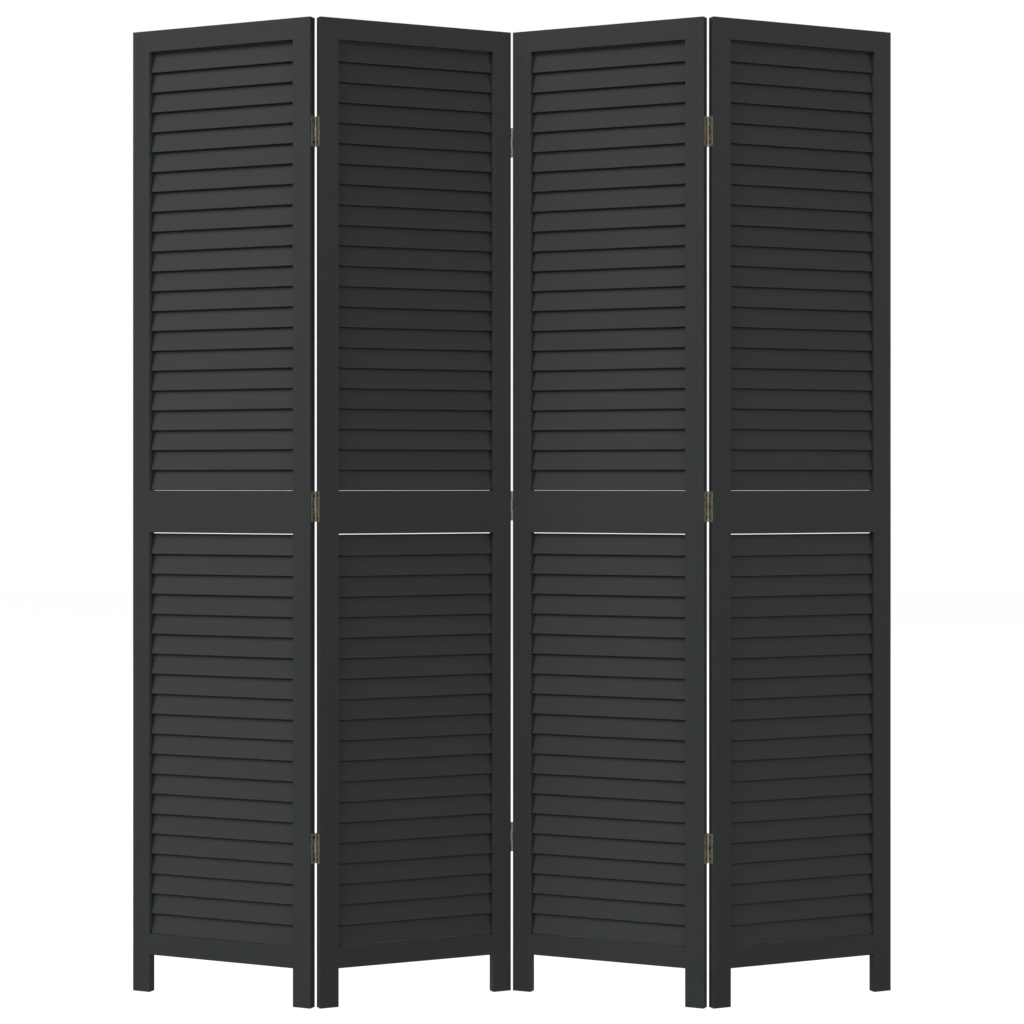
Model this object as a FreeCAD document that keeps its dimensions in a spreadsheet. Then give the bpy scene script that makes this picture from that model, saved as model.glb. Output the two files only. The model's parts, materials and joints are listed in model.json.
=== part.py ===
import FreeCAD
import Part
import Sketcher
import os
import re

# Four louvred panels stand in a zigzag on their legs, joined by three butt hinges at each fold.
# The front faces -Y, +X is to the right, +Z is up, and the origin is on the floor under the middle fold.
# A panel's own frame has its origin on the floor at the middle of the panel, with x along its width and
# y towards its back. A hinge's own frame has its origin on the hinge axis at half the hinge's length, with
# the leaf's panel on the -x side and the leaf running towards -y. Barrels, bores and screws have few sides,
# because there are so many of them.

# Driving dimensions in millimetres and degrees

SIZES = {
    "panel_width": "350",
    "panel_height": "1660",
    "panel_thickness": "16",
    "fold_angle": "24.1",
    "stile_width": "33.5",
    "leg_height": "64.8",
    "bottom_rail_height": "36",
    "middle_rail_base": "794",
    "middle_rail_height": "72.4",
    "top_rail_height": "36.4",
    "arris_chamfer": "0.4",
    "tenon_length": "18",
    "tenon_thickness": "6",
    "tenon_shoulder": "7",
    "tenon_clearance": "0.1",
    "slat_width": "36.3",
    "slat_thickness": "3.5",
    "slat_tilt": "12.6",
    "slat_spacing": "34.4",
    "slat_recess": "3.3",
    "upper_foot_gap": "0.25",
    "upper_head_gap": "0.2",
    "lower_foot_gap": "0.1",
    "lower_head_gap": "1.4",
    "slot_depth": "6",
    "slot_clearance": "0.15",
    "hinge_length": "51",
    "leaf_width": "14",
    "leaf_thickness": "0.7",
    "barrel_diameter": "3",
    "barrel_clearance": "0.1",
    "axis_proud": "0.2",
    "pin_diameter": "1.6",
    "pin_clearance": "0.05",
    "knuckle_gap": "0.3",
    "knuckle_relief": "0.4",
    "top_hinge_drop": "191.2",
    "middle_hinge_height": "839.8",
    "bottom_hinge_height": "266.8",
    "screw_head_width": "5",
    "screw_length": "12",
    "screw_taper": "45",
    "screw_spacing": "18.3",
    "screw_inset": "5.4",
    "screw_clearance": "0.05",
    "cut_overrun": "1",
}

PANELS = (1, 2, 3, 4)
FOLDS = (1, 2, 3)
KNUCKLES = 3
BARREL_SIDES = 8
SCREW_SIDES = 6
SCREWS_PER_LEAF = 3

# Sizes that follow from the driving ones

TILT_COS = "cos(slat_tilt * 1 deg)"
TILT_SIN = "sin(slat_tilt * 1 deg)"
FOLD_COS = "cos(fold_angle * 1 deg)"
FOLD_SIN = "sin(fold_angle * 1 deg)"
HALF_OPENING = "(panel_width / 2 - stile_width)"
SLAT_RISE = f"(slat_width * {TILT_COS} + slat_thickness * {TILT_SIN})"
SLAT_FRONT = "(slat_recess - panel_thickness / 2)"
LOWER_BASE = "(leg_height + bottom_rail_height + lower_foot_gap)"
LOWER_RUN = f"(middle_rail_base - lower_head_gap - {LOWER_BASE} - {SLAT_RISE})"
UPPER_BASE = "(middle_rail_base + middle_rail_height + upper_foot_gap)"
UPPER_TOP = "(panel_height - top_rail_height)"
UPPER_RUN = f"({UPPER_TOP} - upper_head_gap - {UPPER_BASE} - {SLAT_RISE})"
EDGE_TO_AXIS = "(barrel_diameter / 2 + barrel_clearance)"
FACE_TO_AXIS = "(panel_thickness / 2 + axis_proud)"
AXIS_ACROSS = f"(panel_width / 2 + {EDGE_TO_AXIS})"
PANEL_STEP = f"(2 * ({AXIS_ACROSS} * {FOLD_COS} + {FACE_TO_AXIS} * {FOLD_SIN}))"
LEAF_FACE = f"(leaf_thickness - {EDGE_TO_AXIS})"
NOTCH_REACH = "(barrel_diameter / 2 + knuckle_relief)"
KNUCKLE = f"(hinge_length / {KNUCKLES})"
BORE_WIDTH = f"((pin_diameter + 2 * pin_clearance) / cos({180 / BARREL_SIDES} deg))"
SINK_INSET = f"(leaf_thickness * tan(screw_taper * 1 deg) / cos({180 / SCREW_SIDES} deg))"
SCREW_RUN = f"({SCREWS_PER_LEAF - 1} * screw_spacing)"
SCREW_PLACE = ("-screw_inset", f"-{SCREW_RUN} / 2")

SLAT_FIELDS = {
    "upper_slats": (UPPER_BASE, UPPER_RUN),
    "lower_slats": (LOWER_BASE, LOWER_RUN),
}
RAILS = {
    "top_rail": (UPPER_TOP, "top_rail_height"),
    "middle_rail": ("middle_rail_base", "middle_rail_height"),
    "bottom_rail": ("leg_height", "bottom_rail_height"),
}
HINGE_HEIGHTS = {
    "top": "(panel_height - top_hinge_drop)",
    "middle": "middle_hinge_height",
    "bottom": "bottom_hinge_height",
}

doc = FreeCAD.newDocument("FoldingScreen")
sheet = doc.addObject("Spreadsheet::Sheet", "Sizes")
for row, (alias, value) in enumerate(SIZES.items(), start=1):
    sheet.set(f"A{row}", alias)
    sheet.set(f"B{row}", value)
    sheet.setAlias(f"B{row}", alias)
doc.recompute()

ALIAS = re.compile(r"\b(" + "|".join(SIZES) + r")\b")
UP = FreeCAD.Vector(0, 0, 1)
DOWN = FreeCAD.Vector(0, 0, -1)


def bind(thing, path, formula):
    """Drive a property, or one part of it, by a formula in the sheet's names."""
    thing.setExpression(path, ALIAS.sub(r"Sizes.\1", formula))


def origin_feature(body, role):
    return next(item for item in body.Origin.OriginFeatures if item.Role == role)


def new_sketch(body, plane, place, turn=None):
    """An empty sketch on one of the body's planes, shifted by three formulas and turned if asked."""
    sketch = body.newObject("Sketcher::SketchObject", "Sketch")
    sketch.AttachmentSupport = [(origin_feature(body, plane), "")]
    sketch.MapMode = "FlatFace"
    if turn:
        sketch.AttachmentOffset = FreeCAD.Placement(FreeCAD.Vector(), FreeCAD.Rotation(DOWN, 1))
        bind(sketch, "AttachmentOffset.Rotation.Angle", turn)
    for axis, formula in zip("xyz", place):
        bind(sketch, f"AttachmentOffset.Base.{axis}", formula)
    return sketch


def rectangle(body, plane, place, width, height, turn=None):
    """A sketch of one rectangle with its first corner at the sketch's origin."""
    sketch = new_sketch(body, plane, place, turn)
    corners = [FreeCAD.Vector(0, 0), FreeCAD.Vector(1, 0), FreeCAD.Vector(1, 1), FreeCAD.Vector(0, 1)]
    for start, end in zip(corners, corners[1:] + corners[:1]):
        sketch.addGeometry(Part.LineSegment(start, end))
    for side in range(4):
        sketch.addConstraint(Sketcher.Constraint("Coincident", side, 2, (side + 1) % 4, 1))
        sketch.addConstraint(Sketcher.Constraint("Vertical" if side % 2 else "Horizontal", side))
    sketch.addConstraint(Sketcher.Constraint("Coincident", 0, 1, -1, 1))
    for name, kind, side, formula in (("width", "DistanceX", 0, width), ("height", "DistanceY", 1, height)):
        index = sketch.addConstraint(Sketcher.Constraint(kind, side, 1, side, 2, 1))
        sketch.renameConstraint(index, name)
        bind(sketch, f"Constraints.{name}", formula)
    return sketch


def circle(body, plane, place, diameter):
    """A sketch of one circle about the sketch's origin."""
    sketch = new_sketch(body, plane, place)
    sketch.addGeometry(Part.Circle(FreeCAD.Vector(), UP, 1))
    sketch.addConstraint(Sketcher.Constraint("Coincident", 0, 3, -1, 1))
    index = sketch.addConstraint(Sketcher.Constraint("Diameter", 0, 1))
    sketch.renameConstraint(index, "diameter")
    bind(sketch, "Constraints.diameter", diameter)
    return sketch


def polygon(body, plane, place, width, sides):
    """A sketch of one regular polygon, as wide as its outer circle, about the sketch's origin."""
    sketch = new_sketch(body, plane, place)
    turn = FreeCAD.Rotation(UP, 360 / sides)
    corners = [FreeCAD.Vector(1, 0)]
    while len(corners) < sides:
        corners.append(turn.multVec(corners[-1]))
    for start, end in zip(corners, corners[1:] + corners[:1]):
        sketch.addGeometry(Part.LineSegment(start, end))
    ring = sketch.addGeometry(Part.Circle(FreeCAD.Vector(), UP, 1), True)
    sketch.addConstraint(Sketcher.Constraint("Coincident", ring, 3, -1, 1))
    for side in range(sides):
        sketch.addConstraint(Sketcher.Constraint("Coincident", side, 2, (side + 1) % sides, 1))
        sketch.addConstraint(Sketcher.Constraint("PointOnObject", side, 1, ring))
        if side:
            sketch.addConstraint(Sketcher.Constraint("Equal", 0, side))
    sketch.addConstraint(Sketcher.Constraint("PointOnObject", 0, 1, -1))
    index = sketch.addConstraint(Sketcher.Constraint("Diameter", ring, 1))
    sketch.renameConstraint(index, "width")
    bind(sketch, "Constraints.width", width)
    return sketch


def point(body, plane, place):
    """A sketch of one point at the sketch's origin."""
    sketch = new_sketch(body, plane, place)
    sketch.addGeometry(Part.Point(FreeCAD.Vector()))
    sketch.addConstraint(Sketcher.Constraint("Coincident", 0, 1, -1, 1))
    return sketch


def pad(body, sketch, length, reverse=False, taper=None):
    """Raise a sketch into a solid, along the sketch's normal or against it."""
    feature = body.newObject("PartDesign::Pad", "Pad")
    feature.Profile = sketch
    feature.Reversed = reverse
    bind(feature, "Length", length)
    if taper:
        bind(feature, "TaperAngle", taper)
    return feature


def pocket(body, sketch, length, reverse=False):
    """Cut a sketch into the solid, against the sketch's normal or along it."""
    feature = body.newObject("PartDesign::Pocket", "Pocket")
    feature.Profile = sketch
    feature.Reversed = reverse
    bind(feature, "Length", length)
    return feature


def row_up(body, features, run, count):
    """Repeat features up the body, evenly over a run."""
    pattern = body.newObject("PartDesign::LinearPattern", "Row")
    pattern.Originals = features
    pattern.Direction = (origin_feature(body, "Z_Axis"), [""])
    bind(pattern, "Length", run)
    bind(pattern, "Occurrences", count)
    body.Tip = pattern
    return pattern


def long_edges(feature, direction):
    """The names of a straight bar's edges along one direction."""
    names = []
    for number, edge in enumerate(feature.Shape.Edges, start=1):
        if edge.tangentAt(edge.FirstParameter).isParallel(direction, 1e-6):
            names.append(f"Edge{number}")
    return names


def ease_long_edges(body, feature, direction):
    """Take the sharp arrises off a bar."""
    doc.recompute()
    chamfer = body.newObject("PartDesign::Chamfer", "Chamfer")
    chamfer.Base = (feature, long_edges(feature, direction))
    bind(chamfer, "Size", "arris_chamfer")


def slat_section(body, start, base, margin):
    """The tilted section of a field's lowest slat, grown by a margin, lower edge to the front."""
    across = f"{SLAT_FRONT} - {margin} * ({TILT_COS} + {TILT_SIN})"
    lift = f"{base} + slat_thickness * {TILT_SIN} + {margin} * ({TILT_SIN} - {TILT_COS})"
    thickness = f"slat_thickness + 2 * {margin}"
    width = f"slat_width + 2 * {margin}"
    return rectangle(body, "YZ_Plane", (across, lift, start), thickness, width, "slat_tilt")


def slat_count(run):
    return f"round({run} / slat_spacing) + 1"


def tenon_section(body, start, base, height, margin):
    """The section of a rail's tenon, grown by a margin."""
    across = f"-tenon_thickness / 2 - {margin}"
    lift = f"{base} + tenon_shoulder - {margin}"
    thickness = f"tenon_thickness + 2 * {margin}"
    rise = f"{height} - 2 * tenon_shoulder + 2 * {margin}"
    return rectangle(body, "YZ_Plane", (across, lift, start), thickness, rise)


# Pieces of one panel, in the panel's frame


def make_stile(side):
    """An upright with its leg, a mortise for each rail and a slanted slot for each slat."""
    right = side == "right"
    body = doc.addObject("PartDesign::Body", f"{side}_stile")
    left_edge = HALF_OPENING if right else "-panel_width / 2"
    inner_edge = HALF_OPENING if right else f"-{HALF_OPENING}"
    section = rectangle(
        body, "XY_Plane", (left_edge, "-panel_thickness / 2", "0"), "stile_width", "panel_thickness"
    )
    ease_long_edges(body, pad(body, section, "panel_height"), UP)
    for base, height in RAILS.values():
        mortise = tenon_section(body, inner_edge, base, height, "tenon_clearance")
        pocket(body, mortise, "tenon_length + tenon_clearance", reverse=right)
    for base, run in SLAT_FIELDS.values():
        section = slat_section(body, inner_edge, base, "slot_clearance")
        slot = pocket(body, section, "slot_depth", reverse=right)
        row_up(body, [slot], run, slat_count(run))
    return body


def make_rail(name):
    """A cross bar with a stub tenon at both ends."""
    base, height = RAILS[name]
    body = doc.addObject("PartDesign::Body", name)
    section = rectangle(
        body, "YZ_Plane", ("-panel_thickness / 2", base, f"-{HALF_OPENING}"), "panel_thickness", height
    )
    ease_long_edges(body, pad(body, section, f"2 * {HALF_OPENING}"), FreeCAD.Vector(1, 0, 0))
    tenon = tenon_section(body, f"-{HALF_OPENING} - tenon_length", base, height, "0")
    pad(body, tenon, f"2 * ({HALF_OPENING} + tenon_length)")
    return body


def make_slats(name):
    """A field of louvre slats, each one seated in a slot of both stiles."""
    base, run = SLAT_FIELDS[name]
    body = doc.addObject("PartDesign::Body", name)
    reach = f"({HALF_OPENING} + slot_depth - slot_clearance)"
    slat = pad(body, slat_section(body, f"-{reach}", base, "0"), f"2 * {reach}")
    row_up(body, [slat], run, slat_count(run))
    return body


# Pieces of one hinge, in the hinge's frame


def notch(body, base, height):
    """Clear a leaf's plate and barrel away from where a knuckle of the other leaf turns."""
    section = rectangle(
        body,
        "XY_Plane",
        (f"-{EDGE_TO_AXIS} - cut_overrun", f"-{NOTCH_REACH}", base),
        f"{EDGE_TO_AXIS} + barrel_diameter / 2 + 2 * cut_overrun",
        f"{NOTCH_REACH} + barrel_diameter / 2 + cut_overrun",
    )
    pocket(body, section, height, reverse=True)


def sink_holes(body, row):
    """Slope the sides of a leaf's holes inwards from its face, for the heads of the screws."""
    doc.recompute()
    faces = row.Shape.Faces
    pierced = [number for number, face in enumerate(faces) if len(face.Wires) > SCREWS_PER_LEAF]
    front = max(pierced, key=lambda number: faces[number].CenterOfMass.x)
    outline = {edge.hashCode() for edge in faces[front].OuterWire.Edges}
    rims = {edge.hashCode() for edge in faces[front].Edges} - outline
    sides = []
    for number, face in enumerate(faces):
        if number != front and rims & {edge.hashCode() for edge in face.Edges}:
            sides.append(f"Face{number + 1}")
    draft = body.newObject("PartDesign::Draft", "Sink")
    draft.Base = (row, sides)
    draft.NeutralPlane = (row, [f"Face{front + 1}"])
    draft.Reversed = True
    bind(draft, "Angle", "screw_taper")


def make_leaf(name):
    """A flat leaf with countersunk holes, rolled into knuckles round the pin."""
    body = doc.addObject("PartDesign::Body", name)
    foot = "-hinge_length / 2"
    plate = rectangle(
        body, "XY_Plane", (f"-{EDGE_TO_AXIS}", "-leaf_width", foot), "leaf_thickness", "leaf_width"
    )
    pad(body, plate, "hinge_length")
    barrel = polygon(body, "XY_Plane", ("0", "0", foot), "barrel_diameter", BARREL_SIDES)
    pad(body, barrel, "hinge_length")
    bore = polygon(body, "XY_Plane", ("0", "0", foot), BORE_WIDTH, BARREL_SIDES)
    pocket(body, bore, "hinge_length", reverse=True)
    if name == "outer_leaf":
        notch(body, f"-({KNUCKLE} + knuckle_gap) / 2", f"{KNUCKLE} + knuckle_gap")
    else:
        end = f"({KNUCKLE} + knuckle_gap / 2 + cut_overrun)"
        notch(body, f"{foot} - cut_overrun", end)
        notch(body, f"-{foot} + cut_overrun - {end}", end)
    mouth = "screw_head_width + 2 * screw_clearance"
    hole = polygon(body, "YZ_Plane", (*SCREW_PLACE, LEAF_FACE), mouth, SCREW_SIDES)
    row = row_up(body, [pocket(body, hole, "leaf_thickness")], SCREW_RUN, str(SCREWS_PER_LEAF))
    sink_holes(body, row)
    return body


def make_screws():
    """The countersunk wood screws of one leaf, driven into the stile's edge to their points."""
    body = doc.addObject("PartDesign::Body", "leaf_screws")
    top = polygon(body, "YZ_Plane", (*SCREW_PLACE, LEAF_FACE), "screw_head_width", SCREW_SIDES)
    head = pad(body, top, "leaf_thickness", reverse=True, taper="-screw_taper")
    root_width = f"screw_head_width - 2 * {SINK_INSET}"
    root = polygon(body, "YZ_Plane", (*SCREW_PLACE, f"-{EDGE_TO_AXIS}"), root_width, SCREW_SIDES)
    shank = body.newObject("PartDesign::AdditiveLoft", "Shank")
    shank.Profile = root
    shank.Sections = [point(body, "YZ_Plane", (*SCREW_PLACE, f"{LEAF_FACE} - screw_length"))]
    shank.Ruled = True
    row_up(body, [head, shank], SCREW_RUN, str(SCREWS_PER_LEAF))
    return body


def make_pin():
    """A plain hinge pin as long as the barrel."""
    body = doc.addObject("PartDesign::Body", "pin")
    pad(body, circle(body, "XY_Plane", ("0", "0", "-hinge_length / 2"), "pin_diameter"), "hinge_length")
    return body


# Each kind of piece is modelled once


masters = {f"{side}_stile": make_stile(side) for side in ("left", "right")}
masters.update({name: make_rail(name) for name in RAILS})
masters.update({name: make_slats(name) for name in SLAT_FIELDS})
panel_pieces = list(masters)
masters.update({name: make_leaf(name) for name in ("outer_leaf", "inner_leaf")})
masters["screws"] = make_screws()
masters["pin"] = make_pin()

# Every piece of the screen is a linked copy of its kind, set in place by a formula


def turned(base, axis, angle):
    """A placement formula from three formulas for the base, an axis and an angle in degrees."""
    return f"placement(vector({'; '.join(base)}); rotation(vector({axis}); {angle}))"


def panel_place(panel):
    """Panels turn one way and the other in turn, about centres that lie in one line."""
    middle = (PANELS[0] + PANELS[-1]) / 2
    angle = "-fold_angle" if panel % 2 else "fold_angle"
    return turned((f"{panel - middle} * {PANEL_STEP}", "0", "0"), "0; 0; 1", angle)


def hinge_place(panel, side, height):
    """A hinge's frame on one edge of a panel, turned so that its leaf lies on that edge."""
    fold = panel if side == "right" else panel - 1
    behind = fold % 2 == 1
    across = AXIS_ACROSS if side == "right" else f"-{AXIS_ACROSS}"
    depth = FACE_TO_AXIS if behind else f"-{FACE_TO_AXIS}"
    axis, angle = {
        ("right", True): ("0; 0; 1", "0"),
        ("left", True): ("0; 1; 0", "180"),
        ("right", False): ("1; 0; 0", "180"),
        ("left", False): ("0; 0; 1", "180"),
    }[side, behind]
    return f"{panel_place(panel)} * {turned((across, depth, HINGE_HEIGHTS[height]), axis, angle)}"


def linked(name, master, place):
    """A piece of its own name and place that takes its shape from its kind."""
    link = doc.addObject("App::Link", name)
    link.LinkedObject = masters[master]
    link.Label = name
    bind(link, "Placement", place)
    return link


nodes = []
for panel in PANELS:
    for piece in panel_pieces:
        nodes.append(linked(f"panel_{panel}_{piece}", piece, panel_place(panel)))
    sides = [side for side in ("left", "right") if (panel if side == "right" else panel - 1) in FOLDS]
    sets = []
    for side in sides:
        for height in HINGE_HEIGHTS:
            place = hinge_place(panel, side, height)
            sets.append(linked(f"screws_{panel}_{side}_{height}", "screws", place))
    group = doc.addObject("Part::Compound", f"panel_{panel}_hinge_screws")
    group.Links = sets
    nodes.append(group)
for fold in FOLDS:
    for height in HINGE_HEIGHTS:
        left = hinge_place(fold, "right", height)
        right = hinge_place(fold + 1, "left", height)
        nodes.append(linked(f"fold_{fold}_{height}_left_leaf", "outer_leaf", left))
        nodes.append(linked(f"fold_{fold}_{height}_right_leaf", "inner_leaf", right))
        nodes.append(linked(f"fold_{fold}_{height}_pin", "pin", left))
doc.recompute()

# Nothing is written unless every object and every shape is sound

for thing in doc.Objects:
    if "Invalid" in thing.State or "Error" in thing.State:
        raise RuntimeError(f"{thing.Label} failed: {thing.State}")
shapes = {node.Label: Part.getShape(node) for node in nodes}
for name, shape in shapes.items():
    if shape.isNull() or not shape.isValid():
        raise RuntimeError(f"{name} has no valid shape")

os.makedirs("parts", exist_ok=True)
for name, shape in shapes.items():
    shape.exportStep(os.path.join("parts", f"{name}.step"))
print(f"{len(shapes)} pieces written, {sum(len(shape.Solids) for shape in shapes.values())} solids")
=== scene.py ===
import json
import math
import random

import bmesh
import bpy
from mathutils import Matrix, Vector


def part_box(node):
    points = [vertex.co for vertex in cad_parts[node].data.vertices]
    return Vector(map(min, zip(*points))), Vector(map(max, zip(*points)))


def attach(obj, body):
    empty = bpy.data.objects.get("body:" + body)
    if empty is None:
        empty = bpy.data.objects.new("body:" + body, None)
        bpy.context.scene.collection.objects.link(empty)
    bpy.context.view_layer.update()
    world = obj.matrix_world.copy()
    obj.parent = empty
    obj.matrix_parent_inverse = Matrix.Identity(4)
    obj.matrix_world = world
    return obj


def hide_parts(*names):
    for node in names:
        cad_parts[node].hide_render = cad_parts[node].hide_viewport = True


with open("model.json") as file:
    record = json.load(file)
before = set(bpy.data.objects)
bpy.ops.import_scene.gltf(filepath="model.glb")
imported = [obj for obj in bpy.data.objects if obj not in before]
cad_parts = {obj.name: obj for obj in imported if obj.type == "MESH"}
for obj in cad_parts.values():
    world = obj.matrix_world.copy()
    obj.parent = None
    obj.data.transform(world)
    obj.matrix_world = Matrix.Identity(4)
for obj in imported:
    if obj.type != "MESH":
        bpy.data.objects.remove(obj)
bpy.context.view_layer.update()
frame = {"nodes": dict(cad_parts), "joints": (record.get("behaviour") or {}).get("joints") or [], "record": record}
print("frame loaded:", len(frame["nodes"]), "nodes")

record = frame["record"]
bodyOf = {node: body for body, nodes in record["behaviour"]["bodies"].items() for node in nodes}
feet = {mount["name"]: Vector(mount["pos_m"]) for mount in record["mounts"]}
foldSpots = {joint["name"]: Vector(joint["pos_m"]) for joint in frame["joints"]}
panels = (1, 2, 3, 4)
folds = (1, 2, 3)
hingeHeights = ("top", "middle", "bottom")
rails = ("top_rail", "middle_rail", "bottom_rail")
dice = random.Random(11)  # the same small differences between boards in every run


# Places, all taken from the frame


def panelTurn(panel):
    along = feet[f"foot_{panel}_right"] - feet[f"foot_{panel}_left"]
    return math.atan2(along.y, along.x)


def panelPlace(panel):  # x along the panel, y to its back, on the floor at its middle
    middle = (feet[f"foot_{panel}_right"] + feet[f"foot_{panel}_left"]) / 2
    return Matrix.Translation(middle) @ Matrix.Rotation(panelTurn(panel), 4, "Z")


def twin(panel):  # odd panels stand as the first does, even ones as the second
    return 2 - panel % 2


def localBox(node, place):  # a node's box along the axes of a panel or a hinge
    back = place.inverted()
    points = [back @ vert.co for vert in frame["nodes"][node].data.vertices]
    low = Vector([min(point[axis] for point in points) for axis in range(3)])
    high = Vector([max(point[axis] for point in points) for axis in range(3)])
    return low, high


def hingePlace(fold, height, side):  # on the pin, x away from the leaf's own panel, the leaf towards -y
    panel = fold if side == "left" else fold + 1
    outward = 1 if side == "left" else -1
    behind = 1 if fold % 2 else -1  # barrels at the back of near folds, at the front of the far one
    turn = Matrix.Rotation(panelTurn(panel), 3, "Z")
    xAxis = turn @ Vector((outward, 0, 0))
    yAxis = turn @ Vector((0, behind, 0))
    low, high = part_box(f"fold_{fold}_{height}_{side}_leaf")
    spot = foldSpots[f"fold_{fold}"]
    place = Matrix((xAxis, yAxis, xAxis.cross(yAxis))).transposed().to_4x4()
    place.translation = (spot.x, spot.y, (low.z + high.z) / 2)
    return place


# Finishes


class Wire:  # a socket that can stand in a sum
    def __init__(self, tree, socket):
        self.tree = tree
        self.socket = socket

    def sum(self, operation, first, second):
        node = self.tree.nodes.new("ShaderNodeMath")
        node.operation = operation
        for spot, value in zip(node.inputs, (first, second)):
            plug(self.tree, spot, value)
        return Wire(self.tree, node.outputs[0])

    def __add__(self, other):
        return self.sum("ADD", self, other)

    def __radd__(self, other):
        return self.sum("ADD", other, self)

    def __sub__(self, other):
        return self.sum("SUBTRACT", self, other)

    def __rsub__(self, other):
        return self.sum("SUBTRACT", other, self)

    def __mul__(self, other):
        return self.sum("MULTIPLY", self, other)

    def __rmul__(self, other):
        return self.sum("MULTIPLY", other, self)


def plug(tree, spot, value):
    if isinstance(value, Wire):
        tree.links.new(value.socket, spot)
    else:
        spot.default_value = value


class Finish:  # a material or a world, written node by node
    def __init__(self, owner):
        self.owner = owner
        owner.use_nodes = True
        self.tree = owner.node_tree
        self.tree.nodes.clear()

    def node(self, kind, settings=None, sockets=None, out=0):
        node = self.tree.nodes.new(kind)
        for name, value in (settings or {}).items():
            setattr(node, name, value)
        for name, value in (sockets or {}).items():
            plug(self.tree, node.inputs[name], value)
        return Wire(self.tree, node.outputs[out]) if node.outputs else None

    def noise(self, vector, scale, detail=3.0, roughness=0.55):
        return self.node(
            "ShaderNodeTexNoise", {"noise_dimensions": "3D"},
            {"Vector": vector, "Scale": scale, "Detail": detail, "Roughness": roughness},
        )

    def vector(self, operation, first, second):
        return self.node("ShaderNodeVectorMath", {"operation": operation}, {0: first, 1: second})

    def mix(self, factor, first, second):
        return self.node("ShaderNodeMix", {"data_type": "RGBA"}, {0: factor, 6: first, 7: second}, out=2)

    def clearStep(self, value, low, high):  # 0 below low, 1 above high, smooth between
        return self.node(
            "ShaderNodeMapRange", {"interpolation_type": "SMOOTHSTEP"},
            {"Value": value, "From Min": low, "From Max": high},
        )

    def attribute(self, name):
        return self.node("ShaderNodeAttribute", {"attribute_name": name}, out="Fac")

    def surface(self, sockets):
        shader = self.node("ShaderNodeBsdfPrincipled", None, sockets)
        self.node("ShaderNodeOutputMaterial", None, {"Surface": shader})
        return self.owner


paint = {
    "dark": (0.0180, 0.0197, 0.0202, 1),
    "light": (0.0244, 0.0266, 0.0273, 1),
    "edge": (0.040, 0.0427, 0.0437, 1),
    "paintedRecessLight": (0.0400, 0.0434, 0.0444, 1),  # painted light: a lighter colour that lifts the shade on the stiles' inner faces between the slats
    "roughness": 0.55,
    "specular": 0.06,
    "grainAlong": 4.0,  # streaks of the wood under the paint, per metre
    "grainAcross": 330.0,
    "grainBump": 0.00022,
    "cloudScale": 9.0,
    "peelScale": 1400.0,
    "chipScale": 55.0,
    "chipRange": (0.42, 0.72),
    "boardShift": (61, 37, 23),  # sets each board's grain apart from the next one's
}


def paintFinish(name, turn, upright):
    finish = Finish(bpy.data.materials.new(name))
    spot = finish.node("ShaderNodeTexCoord", out="Object")
    board = finish.node("ShaderNodeMapping", None, {"Vector": spot, "Rotation": (0, 0, -turn)})
    tone = finish.attribute("tone")
    worn = finish.attribute("worn")
    along, across = paint["grainAlong"], paint["grainAcross"]
    stretch = (across, across, along) if upright else (along, across, across)
    steps = {axis: tone * step for axis, step in zip("XYZ", paint["boardShift"])}
    shift = finish.node("ShaderNodeCombineXYZ", None, steps)
    grainSpot = finish.vector("ADD", finish.vector("MULTIPLY", board, stretch), shift)
    grain = finish.noise(grainSpot, 1.0, 4.0, 0.6)
    cloud = finish.noise(finish.vector("ADD", board, shift), paint["cloudScale"])
    peel = finish.noise(board, paint["peelScale"], 2.0)
    shade = 0.42 * grain + 0.38 * cloud + 0.2 * tone
    chips = finish.clearStep(worn * finish.noise(board, paint["chipScale"], 4.0), *paint["chipRange"])
    colour = finish.mix(shade, paint["dark"], paint["light"])
    # painted light: lightens the shaded inner faces of the stiles between the slats
    colour = finish.mix(finish.attribute("paintedRecessLight"), colour, paint["paintedRecessLight"])
    colour = finish.mix(0.6 * chips, colour, paint["edge"])
    height = 0.7 * grain + 0.3 * peel
    bump = finish.node(
        "ShaderNodeBump", None, {"Strength": 0.5, "Distance": paint["grainBump"], "Height": height}
    )
    return finish.surface({
        "Base Color": colour,
        "Roughness": paint["roughness"] + 0.1 * (cloud - 0.5) + 0.08 * (grain - 0.5),
        "Specular IOR Level": paint["specular"],
        "Normal": bump,
    })


brass = {
    "bright": (0.395, 0.372, 0.286, 1),
    "tarnished": (0.100, 0.0915, 0.0640, 1),
    # painted shade: a grey for the far fold's barrel
    "paintedShadeGrey": (0.138, 0.141, 0.139, 1),
    "roughness": 0.42,
    "bloomScale": 210.0,
    "speckScale": 1500.0,
    "speckBump": 0.0001,
    "tarnishRange": (0.36, 0.66),
}


def brassFinish(name):
    finish = Finish(bpy.data.materials.new(name))
    spot = finish.node("ShaderNodeTexCoord", out="Object")
    bloom = finish.noise(spot, brass["bloomScale"], 4.0, 0.6)
    speck = finish.noise(spot, brass["speckScale"])
    # polish varies the plates' tarnish; on the near folds' barrels it is painted light
    dullnessAndPaintedLight = 0.3 * (0.5 - finish.attribute("polishAndPaintedLight"))
    tarnishAndPaintedLight = finish.clearStep(0.75 * bloom + 0.25 * speck + dullnessAndPaintedLight, *brass["tarnishRange"])
    bump = finish.node(
        "ShaderNodeBump", None, {"Strength": 0.25, "Distance": brass["speckBump"], "Height": speck}
    )
    colour = finish.mix(tarnishAndPaintedLight, brass["bright"], brass["tarnished"])
    return finish.surface({
        # painted shade greys the far fold's barrel
        "Base Color": finish.mix(finish.attribute("paintedShadeGrey"), colour, brass["paintedShadeGrey"]),
        "Metallic": 1 - 0.35 * tarnishAndPaintedLight,
        "Roughness": brass["roughness"] + 0.22 * tarnishAndPaintedLight,
        "Normal": bump,
    })


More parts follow.
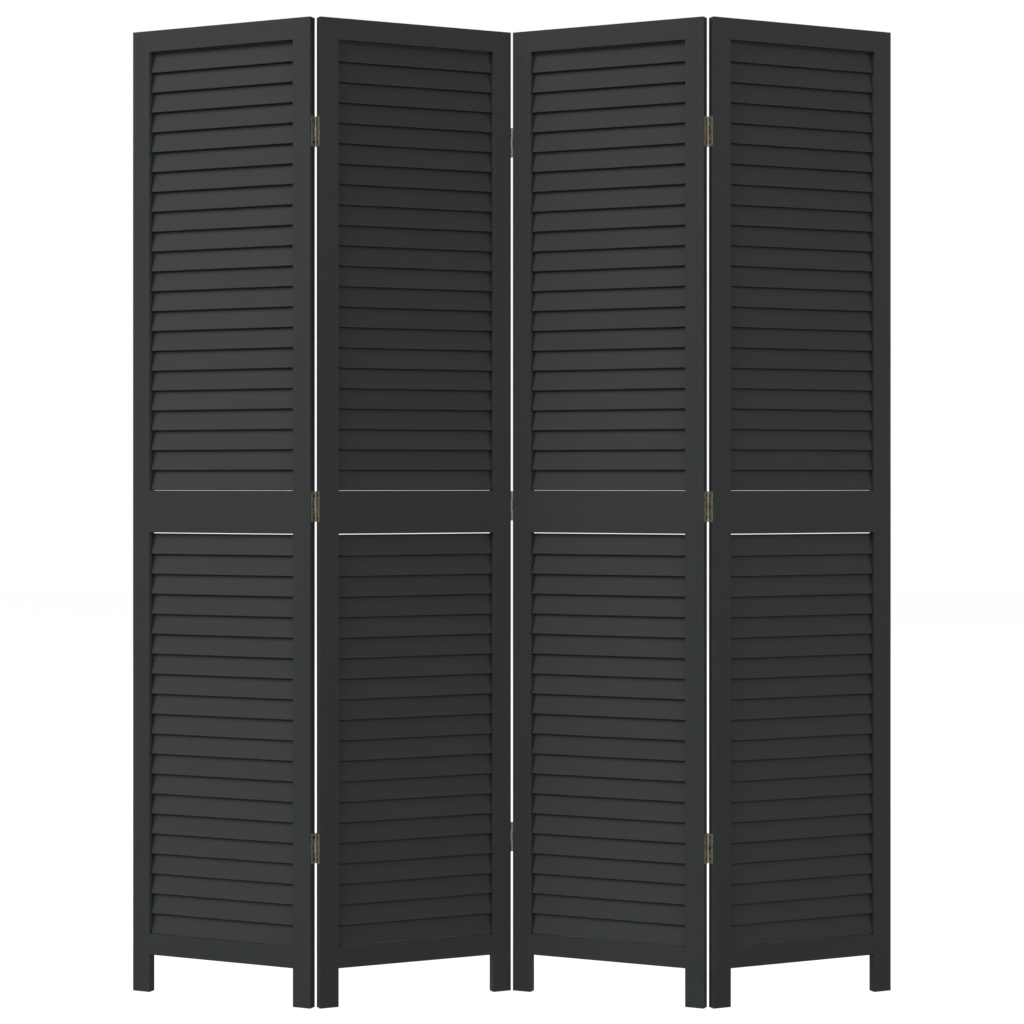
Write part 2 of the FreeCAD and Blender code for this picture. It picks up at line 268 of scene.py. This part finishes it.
steel = {
    # screws coloured very dark
    "screw": (0.020, 0.018, 0.014, 1),
    "screwWorn": (0.075, 0.068, 0.052, 1),
    "pin": (0.23, 0.22, 0.19, 1),
    "pinDull": (0.09, 0.085, 0.07, 1),
    "screwRoughness": 0.5,
    "pinRoughness": 0.45,
    "rubScale": 700.0,
    "rubRange": (0.5, 0.75),
}


def steelFinish(name, dark, light, roughness):
    finish = Finish(bpy.data.materials.new(name))
    spot = finish.node("ShaderNodeTexCoord", out="Object")
    cloud = finish.noise(spot, steel["rubScale"], 4.0, 0.6)
    rub = finish.clearStep(cloud, *steel["rubRange"])
    return finish.surface({
        "Base Color": finish.mix(rub, dark, light),
        "Metallic": 0.85 + 0.1 * rub,
        "Roughness": roughness - 0.12 * rub,
    })


floorPaint = {"base": (0.05, 0.05, 0.05, 1), "roughness": 0.9, "specular": 0.1, "glow": 0.97}


def floorFinish(name):  # an evenly lit white sweep
    finish = Finish(bpy.data.materials.new(name))
    return finish.surface({
        "Base Color": floorPaint["base"],
        "Roughness": floorPaint["roughness"],
        "Specular IOR Level": floorPaint["specular"],
        "Emission Color": (1, 1, 1, 1),
        "Emission Strength": floorPaint["glow"],
    })


frameFinishes = {panel: paintFinish(f"stilePaint{panel}", panelTurn(panel), True) for panel in (1, 2)}
boardFinishes = {panel: paintFinish(f"boardPaint{panel}", panelTurn(panel), False) for panel in (1, 2)}
leafFinish = brassFinish("agedBrass")
screwFinish = steelFinish("veryDarkScrew", steel["screw"], steel["screwWorn"], steel["screwRoughness"])
pinFinish = steelFinish("dullPin", steel["pinDull"], steel["pin"], steel["pinRoughness"])
print("finishes ready:", len(bpy.data.materials))


# Shared modelling steps

modelling = {
    "touch": 1e-6,  # metres within which two places are one
    "straight": 0.999,  # share of an edge's length that lies along an axis
    "around": 1.01,  # a hair past a radius, to take in the points on it
    "sharpAngle": 40,
}


def startMesh():
    bm = bmesh.new()
    return bm, bm.verts.layers.float.new("tone"), bm.loops.layers.float.new("worn")


def addBox(bm, low, high, turn=Matrix()):
    size = high - low
    place = Matrix.Translation((low + high) / 2) @ turn @ Matrix.Diagonal((size.x, size.y, size.z, 1))
    return bmesh.ops.create_cube(bm, size=1, matrix=place)["verts"]


def roundEdges(bm, edges, radius, segments, worn):
    rounded = bmesh.ops.bevel(
        bm, geom=edges, offset=radius, offset_type="OFFSET", affect="EDGES", segments=segments,
        profile=0.5, material=-1, clamp_overlap=True,
    )
    for face in rounded["faces"]:
        face.smooth = True
        for loop in face.loops:
            loop[worn] = 1.0


def edgeMiddle(edge):
    return (edge.verts[0].co + edge.verts[1].co) / 2


def runsAlong(edge, axis):
    span = edge.verts[1].co - edge.verts[0].co
    return abs(span[axis]) > modelling["straight"] * span.length


def finishPiece(bm, node, finish, smooth=False):
    mesh = bpy.data.meshes.new(f"{node}_dressed")
    bm.to_mesh(mesh)
    bm.free()
    if smooth:
        mesh.shade_smooth()
        mesh.set_sharp_from_angle(angle=math.radians(modelling["sharpAngle"]))
    mesh.materials.append(finish)
    piece = bpy.data.objects.new(mesh.name, mesh)
    bpy.context.scene.collection.objects.link(piece)
    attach(piece, bodyOf[node])
    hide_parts(node)
    return piece


# Frames of the panels

stileSizes = {
    "round": 0.0004,
    "segments": 3,
    "paintedRecessLightShare": (0.4, 1.0),  # share of painted light on the shaded inner faces between the slats, even and odd panels
}


def makeStile(panel, side):
    node = f"panel_{panel}_{side}_stile"
    place = panelPlace(panel)
    low, high = localBox(node, place)
    bm, tone, worn = startMesh()
    paintedRecessLight = bm.loops.layers.float.new("paintedRecessLight")
    addBox(bm, low, high)
    spans = [localBox(f"panel_{panel}_{rail}", place) for rail in rails]
    for railLow, railHigh in spans:
        for level in (railLow.z, railHigh.z):
            if level < high.z:
                whole = bm.verts[:] + bm.edges[:] + bm.faces[:]
                bmesh.ops.bisect_plane(bm, geom=whole, plane_co=(0, 0, level), plane_no=(0, 0, 1))
    inner = low.x if side == "right" else high.x
    touch = modelling["touch"]

    def besideRail(level):
        return any(railLow.z < level < railHigh.z for railLow, railHigh in spans)

    def eased(edge):  # rails meet the inner arris flush, so it stays square there
        middle = edgeMiddle(edge)
        atInner = abs(middle.x - inner) < touch
        if runsAlong(edge, 2):
            return not (atInner and besideRail(middle.z))
        if middle.z > high.z - touch:
            return not atInner
        return middle.z < low.z + touch

    arrises = [edge for edge in bm.edges if eased(edge)]
    roundEdges(bm, arrises, stileSizes["round"], stileSizes["segments"], worn)
    legTop = min(railHigh.z for railLow, railHigh in spans)
    for face in bm.faces:  # the inner faces between the rails, lightened with painted light against their shade
        middle = face.calc_center_median()
        if abs(middle.x - inner) < touch and middle.z > legTop and not besideRail(middle.z):
            for loop in face.loops:
                loop[paintedRecessLight] = stileSizes["paintedRecessLightShare"][panel % 2]
    shade = dice.random()
    for vert in bm.verts:
        vert[tone] = shade
    bm.transform(place)
    finishPiece(bm, node, frameFinishes[twin(panel)])


railSizes = {"round": 0.0004, "segments": 3}


def makeRail(panel, rail):
    node = f"panel_{panel}_{rail}"
    place = panelPlace(panel)
    low, high = localBox(node, place)
    # between the stiles, without the hidden tenons
    low.x = localBox(f"panel_{panel}_left_stile", place)[1].x
    high.x = localBox(f"panel_{panel}_right_stile", place)[0].x
    bm, tone, worn = startMesh()
    addBox(bm, low, high)
    arrises = [edge for edge in bm.edges if runsAlong(edge, 0)]
    roundEdges(bm, arrises, railSizes["round"], railSizes["segments"], worn)
    shade = dice.random()
    for vert in bm.verts:
        vert[tone] = shade
    bm.transform(place)
    finishPiece(bm, node, boardFinishes[twin(panel)])


slatSizes = {
    "width": 0.0363,
    "thickness": 0.0035,
    "tilt": 12.6,
    "spacing": 0.0344,
    "round": 0.0007,
    "segments": 3,
}


def makeSlats(panel, field):
    node = f"panel_{panel}_{field}"
    place = panelPlace(panel)
    low, high = localBox(node, place)
    tilt = Matrix.Rotation(math.radians(-slatSizes["tilt"]), 4, "X")  # lower edge to the front
    half = Vector((high.x - low.x, slatSizes["thickness"], slatSizes["width"])) / 2
    rise = abs(half.z * tilt[2][2]) + abs(half.y * tilt[2][1])
    run = high.z - low.z - 2 * rise
    count = round(run / slatSizes["spacing"]) + 1
    bm, tone, worn = startMesh()
    for number in range(count):
        middle = Vector((0, (low.y + high.y) / 2, low.z + rise + run * number / (count - 1)))
        verts = addBox(bm, middle - half, middle + half, tilt)
        shade = dice.random()
        for vert in verts:
            vert[tone] = shade
        edges = {edge for vert in verts for edge in vert.link_edges if runsAlong(edge, 0)}
        roundEdges(bm, list(edges), slatSizes["round"], slatSizes["segments"], worn)
    bm.transform(place)
    finishPiece(bm, node, boardFinishes[twin(panel)])


for panel in panels:
    for side in ("left", "right"):
        makeStile(panel, side)
    for rail in rails:
        makeRail(panel, rail)
    for field in ("upper_slats", "lower_slats"):
        makeSlats(panel, field)
    print("panel dressed:", panel)

# Hinges

leafSizes = {
    "gauge": 0.0007,
    "tabReach": 0.0019,  # how far the plate stays back where the other leaf's knuckle turns
    "knuckles": 3,
    "knuckleGap": 0.0003,
    "curl": 304,
    "curlSteps": 18,
    "corner": 0.0016,
    "cornerSegments": 4,
    "platePolish": 0.42,
    "barrelPaintedLight": 1.0,  # painted light brightens the near folds' barrels, in shade inside the folds,
    "barrelPaintedShade": 0.9,  # and painted shade greys the far fold's, bright under the lamps
}
screwSizes = {
    "inset": 0.0054,
    "spacing": 0.0183,
    "perLeaf": 3,
    "headRadius": 0.00245,
    "rootRadius": 0.0016,
    "length": 0.012,
    "sides": 24,
    "crossReach": 0.0013,
    "crossWidth": 0.00035,
    "crossDepth": 0.0006,
    "crossTaper": 0.75,
    "sunk": 0.00005,
}


def screwSpots():  # along the leaf, from the middle of the hinge
    middle = (screwSizes["perLeaf"] - 1) / 2
    return [(number - middle) * screwSizes["spacing"] for number in range(screwSizes["perLeaf"])]


def makeLeaf(fold, height, side):
    node = f"fold_{fold}_{height}_{side}_leaf"
    place = hingePlace(fold, height, side)
    low, high = localBox(node, place)
    front = low.x + leafSizes["gauge"]
    half = (high.z - low.z) / leafSizes["knuckles"] / 2
    gap = leafSizes["knuckleGap"] / 2
    if side == "left":  # the two outer knuckles, or the one between them
        spans = [(low.z, -half - gap, 0), (-half - gap, half + gap, -1), (half + gap, high.z, 0)]
    else:
        spans = [(low.z, gap - half, -1), (gap - half, half - gap, 0), (half - gap, high.z, -1)]
    corners = [(low.y, low.z)]
    for start, end, back in spans:
        corners += [(back * leafSizes["tabReach"], start), (back * leafSizes["tabReach"], end)]
    corners.append((low.y, high.z))

    touch = modelling["touch"]
    bm = bmesh.new()
    outline = bm.faces.new([bm.verts.new((front, y, z)) for y, z in corners])
    free = [vert for vert in outline.verts if vert.co.y < low.y + touch]
    bmesh.ops.bevel(
        bm, geom=free, offset=leafSizes["corner"], offset_type="OFFSET", affect="VERTICES",
        segments=leafSizes["cornerSegments"], profile=0.5, material=-1,
    )
    bmesh.ops.delete(bm, geom=bm.faces[:], context="FACES_ONLY")
    upright = Matrix.Rotation(math.radians(90), 4, "Y")
    mouth = screwSizes["headRadius"] + screwSizes["sunk"]
    for spot in screwSpots():
        centre = Matrix.Translation((front, -screwSizes["inset"], spot))
        bmesh.ops.create_circle(bm, segments=screwSizes["sides"], radius=mouth, matrix=centre @ upright)
    plate = bmesh.ops.triangle_fill(bm, use_beauty=True, edges=bm.edges[:], normal=(1, 0, 0))
    faces = [item for item in plate["geom"] if isinstance(item, bmesh.types.BMFace)]
    pushed = bmesh.ops.extrude_face_region(bm, geom=faces)
    backs = [item for item in pushed["geom"] if isinstance(item, bmesh.types.BMVert)]
    bmesh.ops.translate(bm, vec=(-leafSizes["gauge"], 0, 0), verts=backs)
    for spot in screwSpots():  # the holes narrow to the back
        centre = Vector((low.x, -screwSizes["inset"], spot))
        ring = [vert for vert in backs if (vert.co - centre).length < modelling["around"] * mouth]
        share = screwSizes["rootRadius"] / mouth
        bmesh.ops.scale(bm, vec=(1, share, share), space=Matrix.Translation(-centre), verts=ring)
    tabs = [vert for vert in bm.verts if abs(vert.co.y) < touch]
    bmesh.ops.translate(bm, vec=(-low.x - high.y, 0, 0), verts=tabs)  # the joggle into the barrel
    for face in [face for face in bm.faces if all(abs(vert.co.y) < touch for vert in face.verts)]:
        bmesh.ops.spin(
            bm, geom=[face] + face.edges[:] + face.verts[:],
            cent=(0, 0, 0), axis=(0, 0, 1), dvec=(0, 0, 0),
            angle=-math.radians(leafSizes["curl"]), steps=leafSizes["curlSteps"], use_merge=False,
        )
    bmesh.ops.recalc_face_normals(bm, faces=bm.faces[:])
    polishAndPaintedLight = bm.verts.layers.float.new("polishAndPaintedLight")
    paintedShadeGrey = bm.verts.layers.float.new("paintedShadeGrey")
    for vert in bm.verts:
        onBarrel = vert.co.xy.length < modelling["around"] * high.y
        # painted light brightens the near folds' barrels; painted shade greys the far fold's
        vert[polishAndPaintedLight] = leafSizes["barrelPaintedLight"] if onBarrel and fold % 2 else leafSizes["platePolish"]
        vert[paintedShadeGrey] = leafSizes["barrelPaintedShade"] if onBarrel and not fold % 2 else 0.0
    bm.transform(place)
    finishPiece(bm, node, leafFinish, True)


def screwMesh():  # one countersunk screw, head up, its top at the origin
    bm = bmesh.new()
    reach, width = screwSizes["crossReach"], screwSizes["crossWidth"]
    arm = [(reach, -width), (reach, width), (width, width)]
    cross = []
    for quarter in range(4):
        turn = Matrix.Rotation(math.radians(90 * quarter), 3, "Z")
        cross += [bm.verts.new(turn @ Vector((x, y, 0))) for x, y in arm]
    recess = bm.faces.new(cross)
    bmesh.ops.subdivide_edges(bm, edges=recess.edges[:], cuts=1)
    crossEdges = recess.edges[:]
    start = math.atan2(-width, reach)
    ring = bmesh.ops.create_circle(
        bm, segments=screwSizes["sides"], radius=screwSizes["headRadius"],
        matrix=Matrix.Rotation(start, 4, "Z"),
    )["verts"]
    rim = list({edge for vert in ring for edge in vert.link_edges})
    bmesh.ops.bridge_loops(bm, edges=crossEdges + rim)
    floor = bmesh.ops.extrude_face_region(bm, geom=[recess] + crossEdges)["geom"]
    deep = [item for item in floor if isinstance(item, bmesh.types.BMVert)]
    taper = screwSizes["crossTaper"]
    bmesh.ops.scale(bm, vec=(taper, taper, 1), verts=deep)
    bmesh.ops.translate(bm, vec=(0, 0, -screwSizes["crossDepth"]), verts=deep)
    bmesh.ops.poke(bm, faces=[item for item in floor if isinstance(item, bmesh.types.BMFace)])
    cone = bmesh.ops.extrude_edge_only(bm, edges=rim)["geom"]
    neck = [item for item in cone if isinstance(item, bmesh.types.BMVert)]
    share = screwSizes["rootRadius"] / screwSizes["headRadius"]
    bmesh.ops.scale(bm, vec=(share, share, 1), verts=neck)
    bmesh.ops.translate(bm, vec=(0, 0, -leafSizes["gauge"]), verts=neck)
    neckEdges = [item for item in cone if isinstance(item, bmesh.types.BMEdge)]
    shank = bmesh.ops.extrude_edge_only(bm, edges=neckEdges)["geom"]
    tip = [item for item in shank if isinstance(item, bmesh.types.BMVert)]
    bmesh.ops.pointmerge(bm, verts=tip, merge_co=(0, 0, -screwSizes["length"]))
    bmesh.ops.recalc_face_normals(bm, faces=bm.faces[:])
    mesh = bpy.data.meshes.new("oneScrew")
    bm.to_mesh(mesh)
    bm.free()
    return mesh


def makeScrews(panel, oneScrew):
    node = f"panel_{panel}_hinge_screws"
    bm = bmesh.new()
    outwards = Matrix.Rotation(math.radians(90), 4, "Y")
    for fold, side in ((panel - 1, "right"), (panel, "left")):
        for height in hingeHeights if fold in folds else ():
            place = hingePlace(fold, height, side)
            low = localBox(f"fold_{fold}_{height}_{side}_leaf", place)[0]
            top = low.x + leafSizes["gauge"] - screwSizes["sunk"]
            for spot in screwSpots():
                first = len(bm.verts)
                bm.from_mesh(oneScrew)
                bm.verts.ensure_lookup_table()
                driven = Matrix.Rotation(dice.uniform(0, math.pi), 4, "Z")
                seat = Matrix.Translation((top, -screwSizes["inset"], spot))
                bmesh.ops.transform(bm, matrix=place @ seat @ outwards @ driven, verts=bm.verts[first:])
    finishPiece(bm, node, screwFinish, True)


pinSizes = {"sides": 20, "slack": 0.00004, "round": 0.0004, "segments": 3}


def makePin(fold, height):
    node = f"fold_{fold}_{height}_pin"
    place = hingePlace(fold, height, "left")
    low, high = localBox(node, place)
    radius = high.x - pinSizes["slack"]
    bm = bmesh.new()
    bmesh.ops.create_cone(
        bm, cap_ends=True, segments=pinSizes["sides"],
        radius1=radius, radius2=radius, depth=high.z - low.z,
    )
    rims = [edge for edge in bm.edges if not runsAlong(edge, 2)]
    bmesh.ops.bevel(
        bm, geom=rims, offset=pinSizes["round"], offset_type="OFFSET", affect="EDGES",
        segments=pinSizes["segments"], profile=0.5, material=-1,
    )
    bm.transform(place)
    finishPiece(bm, node, pinFinish, True)


for fold in folds:
    for height in hingeHeights:
        makeLeaf(fold, height, "left")
        makeLeaf(fold, height, "right")
        makePin(fold, height)
oneScrew = screwMesh()
for panel in panels:
    makeScrews(panel, oneScrew)
bpy.data.meshes.remove(oneScrew)
print("hinges dressed")

# Floor, light and camera

studio = {
    "floorSize": 30.0,
    "skyGlow": 0.12,
    "floorGlow": 0.45,  # what a pale floor would throw back up
    "horizon": 0.05,  # half the height over which floor glow turns to sky
    "aim": (0.0, 0.0, 0.9),
    "lamps": {  # degrees round from the front to the right, degrees up, metres, watts
        "keyLight": {"turn": -62, "up": 28, "distance": 16.0, "size": 11.0, "power": 3820},
        "fillLight": {"turn": 52, "up": 17, "distance": 6.5, "size": 4.8, "power": 280},
        "frontLight": {"turn": 0, "up": 12, "distance": 9.0, "size": 4.0, "power": 150},
        "backLight": {"turn": 180, "up": 38, "distance": 8.0, "size": 4.0, "power": 1250},
    },
}


def makeFloor():
    bm = bmesh.new()
    bmesh.ops.create_grid(bm, x_segments=1, y_segments=1, size=studio["floorSize"] / 2)
    mesh = bpy.data.meshes.new("floor")
    bm.to_mesh(mesh)
    bm.free()
    mesh.materials.append(floorFinish("paleFloor"))
    floor = bpy.data.objects.new("floor", mesh)
    floor.visible_diffuse = False  # white to look at, but no light from below
    bpy.context.scene.collection.objects.link(floor)


def makeLamp(name, sizes):  # a softbox aimed at the middle of the screen
    light = bpy.data.lights.new(name, "AREA")
    light.energy = sizes["power"]
    light.size = sizes["size"]
    lamp = bpy.data.objects.new(name, light)
    turn = Matrix.Rotation(math.radians(sizes["turn"]), 4, "Z")
    tip = Matrix.Rotation(math.radians(90 - sizes["up"]), 4, "X")
    away = Matrix.Translation((0, 0, sizes["distance"]))
    lamp.matrix_world = Matrix.Translation(studio["aim"]) @ turn @ tip @ away
    lamp.visible_camera = False
    bpy.context.scene.collection.objects.link(lamp)


def makeSky():  # white behind the screen, softer as a light
    sky = Finish(bpy.data.worlds.new("studioSky"))
    spot = sky.node("ShaderNodeTexCoord", out="Generated")
    height = sky.node("ShaderNodeSeparateXYZ", None, {"Vector": spot}, out="Z")
    up = sky.clearStep(height, -studio["horizon"], studio["horizon"])
    seen = sky.node("ShaderNodeLightPath", out="Is Camera Ray")
    glow = studio["floorGlow"] + (studio["skyGlow"] - studio["floorGlow"]) * up
    strength = glow + seen * (1 - glow)
    shader = sky.node("ShaderNodeBackground", None, {"Color": (1, 1, 1, 1), "Strength": strength})
    sky.node("ShaderNodeOutputWorld", None, {"Surface": shader})
    bpy.context.scene.world = sky.owner


cameraSizes = {
    "spot": (0.0002, -4.02, 0.8814),
    "focalPixels": 2356.8,
    "horizonShift": -30.2,  # pixels that the frame hangs below the horizon
    "framePixels": 1024.0,
    "sensor": 36.0,
}


def makeCamera():
    lens = bpy.data.cameras.new("photoCamera")
    lens.sensor_fit = "HORIZONTAL"
    lens.sensor_width = cameraSizes["sensor"]
    lens.lens = cameraSizes["sensor"] * cameraSizes["focalPixels"] / cameraSizes["framePixels"]
    lens.shift_y = cameraSizes["horizonShift"] / cameraSizes["framePixels"]
    camera = bpy.data.objects.new("photoCamera", lens)
    camera.location = cameraSizes["spot"]
    camera.rotation_euler = (math.radians(90), 0, 0)
    bpy.context.scene.collection.objects.link(camera)
    bpy.context.scene.camera = camera


makeFloor()
for name, sizes in studio["lamps"].items():
    makeLamp(name, sizes)
makeSky()
makeCamera()
bpy.context.scene.view_settings.view_transform = "Standard"
print("studio ready")
